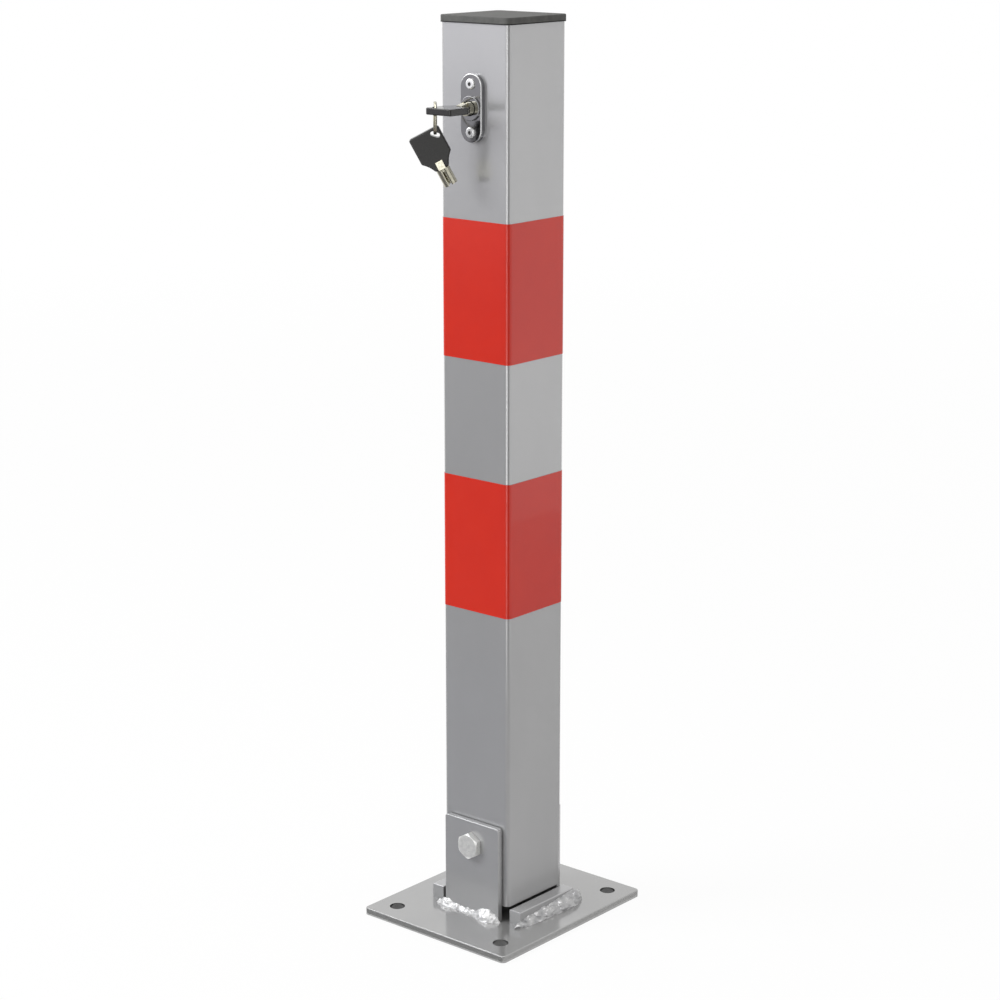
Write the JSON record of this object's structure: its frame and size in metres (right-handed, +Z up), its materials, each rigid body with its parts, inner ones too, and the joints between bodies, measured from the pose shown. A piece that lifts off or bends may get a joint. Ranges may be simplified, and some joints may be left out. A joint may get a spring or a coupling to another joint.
{
  "type": "lockable fold-down parking post",
  "caption": "Square steel parking post on a bolt-down plate that lifts off its stop bars, folds about a cross bolt and locks upright by key.",
  "frame": {"origin": "centre of the base plate's underside", "axes": "+Z up along the post, -Y towards the lock's face, fold axis along Y"},
  "size_m": [0.132, 0.155, 0.639],
  "materials": {
    "grey_paint": "silver-grey metallic paint, semi-gloss",
    "weld_bead": "rough weld bead under silver paint",
    "zinc_plate": "zinc plated, satin",
    "bare_steel": "plain mill steel",
    "cap_plastic": "dark grey moulded plastic",
    "red_film": "glossy red reflective film",
    "lock_metal": "polished chrome plate",
    "key_steel": "nickel plate with a yellowish tint",
    "key_plastic": "black moulded plastic"
  },
  "bodies": {
    "base": {"base_plate": "grey_paint", "front_ear": "grey_paint", "rear_ear": "grey_paint", "left_stop_bar": "grey_paint", "right_stop_bar": "grey_paint", "ear_welds": "weld_bead", "bar_welds": "weld_bead"},
    "pivot": {"pivot_bolt": "zinc_plate", "pivot_washer": "zinc_plate", "pivot_nut": "zinc_plate", "front_sleeve": "zinc_plate", "rear_sleeve": "zinc_plate", "tie_bar": "bare_steel", "catch_pin": "bare_steel"},
    "post": {"post_tube": "grey_paint", "top_cap": "cap_plastic", "lower_band": "red_film", "upper_band": "red_film", "lock_plate": "lock_metal", "lock_screws": "lock_metal", "lock_housing": "lock_metal", "backing_plate": "bare_steel", "lock_nut": "lock_metal", "tie_bar_guide": "bare_steel"},
    "lock_turn": {"lock_plug": "lock_metal", "hook_cam": "bare_steel", "cam_screw": "bare_steel", "key_barrel": "key_steel", "key_head": "key_plastic"},
    "ring": {"key_ring": "key_steel"},
    "spare_key": {"spare_key_barrel": "key_steel", "spare_key_head": "key_plastic"}
  },
  "joints": [
    {"name": "post_fold", "type": "hinge", "parent": "base", "child": "pivot", "pos_m": [0, 0, 0.0575], "axis": [0, 1, 0], "range_deg": [-92, 92]},
    {"name": "post_lift", "type": "slide", "parent": "pivot", "child": "post", "axis": [0, 0, 1], "range_m": [-0.01, 0]},
    {"name": "key_turn", "type": "hinge", "parent": "post", "child": "lock_turn", "pos_m": [0, -0.03, 0.579], "axis": [0, 1, 0], "range_deg": [0, 90]},
    {"name": "ring_swing", "type": "hinge", "parent": "lock_turn", "child": "ring", "pos_m": [-0.0066, -0.0618, 0.579], "axis": [0.7604, 0.6494, 0], "range_deg": [0, 15]},
    {"name": "spare_key_swing", "type": "hinge", "parent": "ring", "child": "spare_key", "pos_m": [-0.01233, -0.05509, 0.56309], "axis": [0.6494, -0.7604, 0], "range_deg": [-30, 30]}
  ]
}
